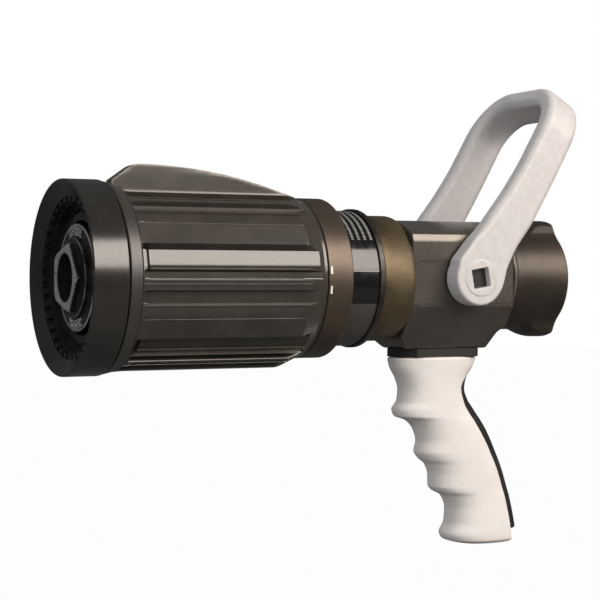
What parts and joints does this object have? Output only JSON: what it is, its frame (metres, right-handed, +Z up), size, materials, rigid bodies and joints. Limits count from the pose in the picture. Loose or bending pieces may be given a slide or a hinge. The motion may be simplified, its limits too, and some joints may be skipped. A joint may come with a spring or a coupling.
{
  "type": "fire hose nozzle",
  "caption": "Fire hose fog nozzle with swivel inlet coupling, ball shutoff worked by a bail handle, pistol grip, flow ring, ribbed pattern sleeve, rubber bumper and central baffle.",
  "frame": {"origin": "centre of the hose thread's mouth, at the coupling's rear face", "axes": "+X forward along the waterway to the outlet, +Z up towards the bail, +Y to the nozzle's left side"},
  "size_m": [0.3219, 0.108, 0.2793],
  "materials": {
    "coupling_black": "hard anodised, satin black",
    "gasket_rubber": "matt",
    "stainless": "brushed",
    "body_anodised": "hard anodised, satin brown",
    "ring_bronze": "hard anodised, satin bronze",
    "dark_anodised": "hard anodised, satin",
    "seat_plastic": "machined",
    "bronze_bush": "machined",
    "bail_coat": "powder coated, light warm grey",
    "band_gloss": "glossy black",
    "index_white": "white fill",
    "badge_metal": "brushed",
    "sleeve_rubber": "satin moulded",
    "bumper_rubber": "semi-gloss moulded",
    "grip_plastic": "fine leather grain, light grey",
    "grip_black": "satin"
  },
  "bodies": {
    "valve_and_barrel": {"valve_body": "body_anodised", "inlet_adapter": "dark_anodised", "front_seat": "seat_plastic", "rear_seat": "seat_plastic", "seat_o_ring": "gasket_rubber", "seat_spring": "stainless", "trunnion_bushes": "bronze_bush", "trunnion_seals": "gasket_rubber", "body_ring": "ring_bronze", "band_rim": "dark_anodised", "label_band": "band_gloss", "barrel": "dark_anodised", "stem_spider": "dark_anodised", "grip_plate": "grip_black", "pistol_grip": "grip_plastic", "grip_backstrap": "grip_black", "grip_bolt": "stainless"},
    "swivel": {"swivel_coupling": "coupling_black", "inlet_gasket": "gasket_rubber", "inlet_screen": "stainless", "race_balls": "stainless", "race_plug": "stainless"},
    "bail": {"bail_handle": "bail_coat", "valve_ball": "stainless", "trunnion_left": "stainless", "trunnion_right": "stainless"},
    "flow_selector": {"flow_ring": "ring_bronze", "flow_index_marks": "index_white", "flow_detent_ball": "stainless", "flow_detent_spring": "stainless", "flow_detent_plug": "stainless"},
    "baffle": {"stem": "stainless", "flow_cam_pin": "stainless", "stem_bolt": "stainless", "baffle_disc": "dark_anodised", "baffle_badges": "badge_metal", "baffle_nut": "dark_anodised"},
    "sleeve_guide": {"pattern_guide_ring": "bronze_bush"},
    "sleeve": {"sleeve_core": "dark_anodised", "cam_pins": "stainless", "sleeve_cover": "sleeve_rubber", "front_collar": "bumper_rubber", "bumper": "bumper_rubber"},
    "teeth": {"fog_teeth_ring": "dark_anodised"}
  },
  "joints": [
    {"name": "coupling_spin", "type": "hinge", "parent": "valve_and_barrel", "child": "swivel", "pos_m": [0.031, 0, 0], "axis": [1, 0, 0], "continuous": true},
    {"name": "bail_swing", "type": "hinge", "parent": "valve_and_barrel", "child": "bail", "pos_m": [0.0728, 0, 0], "axis": [0, 1, 0], "range_deg": [-12, 78]},
    {"name": "flow_select", "type": "hinge", "parent": "valve_and_barrel", "child": "flow_selector", "pos_m": [0.1658, 0, 0], "axis": [1, 0, 0], "range_deg": [-30, 60]},
    {"name": "stem_travel", "type": "slide", "parent": "valve_and_barrel", "child": "baffle", "axis": [1, 0, 0], "range_m": [-0.0008, 0.0016]},
    {"name": "pattern_travel", "type": "slide", "parent": "valve_and_barrel", "child": "sleeve_guide", "axis": [1, 0, 0], "range_m": [0, 0.012]},
    {"name": "pattern_turn", "type": "hinge", "parent": "sleeve_guide", "child": "sleeve", "pos_m": [0.193, 0, 0], "axis": [1, 0, 0], "range_deg": [0, 120]},
    {"name": "teeth_spin", "type": "hinge", "parent": "sleeve", "child": "teeth", "pos_m": [0.3065, 0, 0], "axis": [1, 0, 0], "continuous": true}
  ],
  "couplings": [
    {"joint": "stem_travel", "follows": "flow_select", "m_per_rad": 0.0015279},
    {"joint": "pattern_travel", "follows": "pattern_turn", "m_per_rad": 0.0057296}
  ]
}
